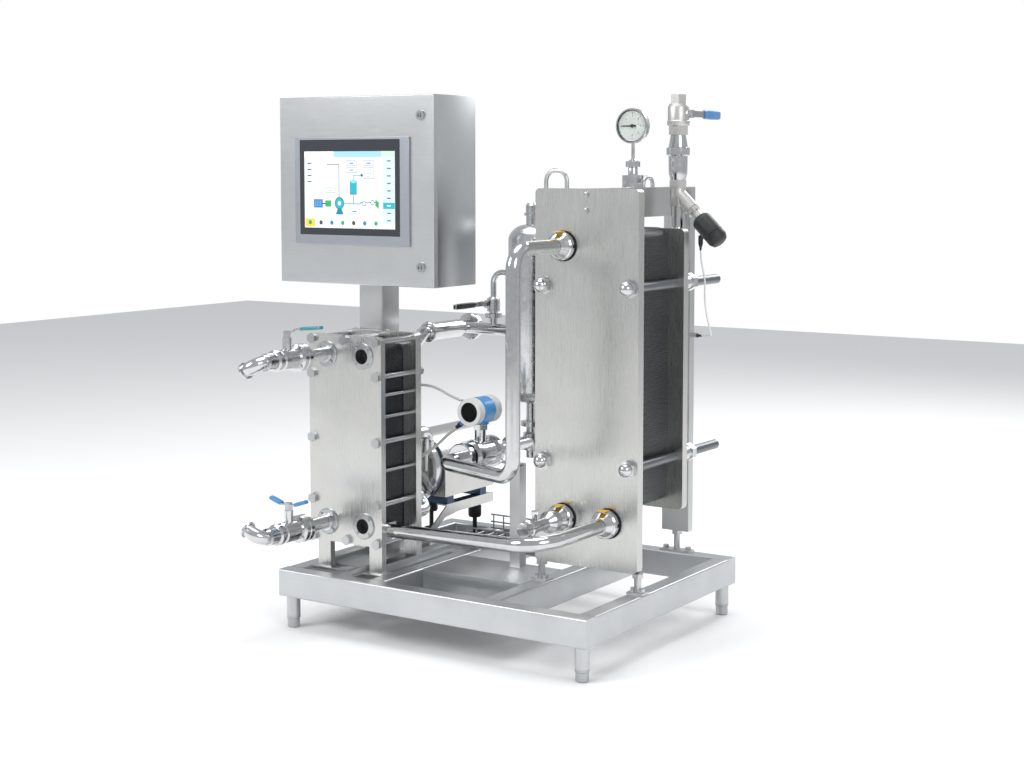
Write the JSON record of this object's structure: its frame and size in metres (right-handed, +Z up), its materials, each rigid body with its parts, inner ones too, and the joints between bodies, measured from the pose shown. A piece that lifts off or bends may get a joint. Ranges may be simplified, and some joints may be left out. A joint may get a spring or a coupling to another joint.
{
  "type": "skid-mounted plate heat exchanger milk cooler",
  "caption": "Skid-mounted milk cooler with a small and a large plate heat exchanger, pump, vessel, flow meter, valves, gauge and a control cabinet with a hinged door.",
  "frame": {"origin": "middle of the whole unit's footprint at floor level", "axes": "+X right along the front beam, +Y to the back, +Z up"},
  "size_m": [1.2906, 1.099, 1.56],
  "materials": {
    "frame_steel": "satin",
    "cover_steel": "brushed",
    "cabinet_steel": "brushed",
    "pipe_steel": "polished",
    "bright_steel": "polished",
    "bolt_steel": "satin",
    "rod_dark": "oiled",
    "pack_steel": "pressed",
    "pressure_plate": "satin",
    "meter_blue": "satin",
    "motor_blue": "gloss",
    "plastic_black": "matte",
    "plastic_white": "matte",
    "rubber_black": "matte",
    "grip_blue": "satin",
    "grip_teal": "satin",
    "grip_black": "satin",
    "panel_silver": "satin",
    "screen_glass": "gloss",
    "clear_glass": "clear",
    "cable_white": "satin",
    "cable_grey": "satin"
  },
  "bodies": {
    "skid": {"frame_tubes": "frame_steel", "deck": "frame_steel", "support_rails": "frame_steel", "chiller_front_plate": "cover_steel", "chiller_plate_pack": "pack_steel", "chiller_pressure_plate": "pressure_plate", "chiller_rear_plate": "cover_steel", "chiller_tie_bolts": "bolt_steel", "chiller_port_rings": "bolt_steel", "cooler_front_plate": "cover_steel", "cooler_plate_pack": "pack_steel", "cooler_follower": "cover_steel", "cooler_carry_bar": "cover_steel", "cooler_supports": "cover_steel", "cooler_tie_rods": "rod_dark", "cooler_nuts": "bright_steel", "port_gaskets": "rubber_black", "port_unions": "bright_steel", "pipe_upper": "pipe_steel", "pipe_lower": "pipe_steel", "drain_branch": "pipe_steel", "inlet_valve_body": "bright_steel", "outlet_valve_body": "bright_steel", "transfer_pipe": "pipe_steel", "vent_branch": "pipe_steel", "vessel": "pipe_steel", "piping_post": "frame_steel", "meter_sensor": "bright_steel", "meter_head": "meter_blue", "sight_glasses": "clear_glass", "pump_volute": "bright_steel", "pump_motor": "motor_blue", "pump_shroud": "cover_steel", "pump_cradle": "cover_steel", "cable_tray": "bolt_steel", "stack_riser": "pipe_steel", "angle_actuator": "plastic_black", "stack_valve_body": "bolt_steel", "gauge_body": "bright_steel", "cabinet_body": "cabinet_steel", "cabinet_post": "frame_steel", "meter_cable": "cable_white", "signal_cable": "cable_white", "air_hose": "cable_white"},
    "front_left_foot": {"foot_front_left": "frame_steel"},
    "front_right_foot": {"foot_front_right": "frame_steel"},
    "back_left_foot": {"foot_back_left": "frame_steel"},
    "back_right_foot": {"foot_back_right": "frame_steel"},
    "inlet_lever": {"inlet_valve_lever": "bolt_steel"},
    "outlet_handle": {"outlet_valve_handle": "bolt_steel"},
    "vent_lever": {"vent_valve_lever": "bolt_steel"},
    "stack_lever": {"stack_valve_lever": "bolt_steel"},
    "valve_plug": {"angle_valve_plug": "bolt_steel"},
    "impeller": {"pump_impeller": "bright_steel"},
    "needle": {"gauge_needle": "plastic_black"},
    "door": {"cabinet_door": "cabinet_steel", "hmi_bezel": "panel_silver", "hmi_glass": "screen_glass"},
    "upper_lock": {"door_lock_upper": "bolt_steel"},
    "lower_lock": {"door_lock_lower": "bolt_steel"}
  },
  "joints": [
    {"name": "front_left_levelling", "type": "slide", "parent": "skid", "child": "front_left_foot", "axis": [0, 0, -1], "range_m": [0, 0.03]},
    {"name": "front_right_levelling", "type": "slide", "parent": "skid", "child": "front_right_foot", "axis": [0, 0, -1], "range_m": [0, 0.03]},
    {"name": "back_left_levelling", "type": "slide", "parent": "skid", "child": "back_left_foot", "axis": [0, 0, -1], "range_m": [0, 0.03]},
    {"name": "back_right_levelling", "type": "slide", "parent": "skid", "child": "back_right_foot", "axis": [0, 0, -1], "range_m": [0, 0.03]},
    {"name": "inlet_valve_turn", "type": "hinge", "parent": "skid", "child": "inlet_lever", "pos_m": [-0.35278, -0.3965, 0.87], "axis": [0, 0, -1], "range_deg": [0, 90]},
    {"name": "outlet_valve_turn", "type": "hinge", "parent": "skid", "child": "outlet_handle", "pos_m": [-0.35278, -0.3965, 0.374], "axis": [0, 0, 1], "range_deg": [0, 90]},
    {"name": "vent_valve_turn", "type": "hinge", "parent": "skid", "child": "vent_lever", "pos_m": [-0.13828, 0.2905, 0.926], "axis": [-1, 0, 0], "range_deg": [0, 90]},
    {"name": "stack_valve_turn", "type": "hinge", "parent": "skid", "child": "stack_lever", "pos_m": [0.52572, 0.3675, 1.503], "axis": [1, 0, 0], "range_deg": [0, 90]},
    {"name": "plug_lift", "type": "slide", "parent": "skid", "child": "valve_plug", "axis": [0.7071, 0, -0.7071], "range_m": [0, 0.012], "stiffness_N_per_m": 3000, "springref_m": -0.004},
    {"name": "impeller_spin", "type": "hinge", "parent": "skid", "child": "impeller", "pos_m": [-0.32728, 0.1735, 0.415], "axis": [0, 1, 0], "continuous": true},
    {"name": "needle_turn", "type": "hinge", "parent": "skid", "child": "needle", "pos_m": [0.41322, 0.2305, 1.467], "axis": [0, 1, 0], "range_deg": [0, 270], "stiffness_Nm_per_rad": 0.002},
    {"name": "door_hinge", "type": "hinge", "parent": "skid", "child": "door", "pos_m": [-0.64528, -0.0628, 1.279], "axis": [0, 0, -1], "range_deg": [0, 120]},
    {"name": "upper_lock_turn", "type": "hinge", "parent": "door", "child": "upper_lock", "pos_m": [-0.11128, -0.0808, 1.499], "axis": [0, 1, 0], "range_deg": [0, 90]},
    {"name": "lower_lock_turn", "type": "hinge", "parent": "door", "child": "lower_lock", "pos_m": [-0.11128, -0.0808, 1.059], "axis": [0, 1, 0], "range_deg": [0, 90]}
  ]
}
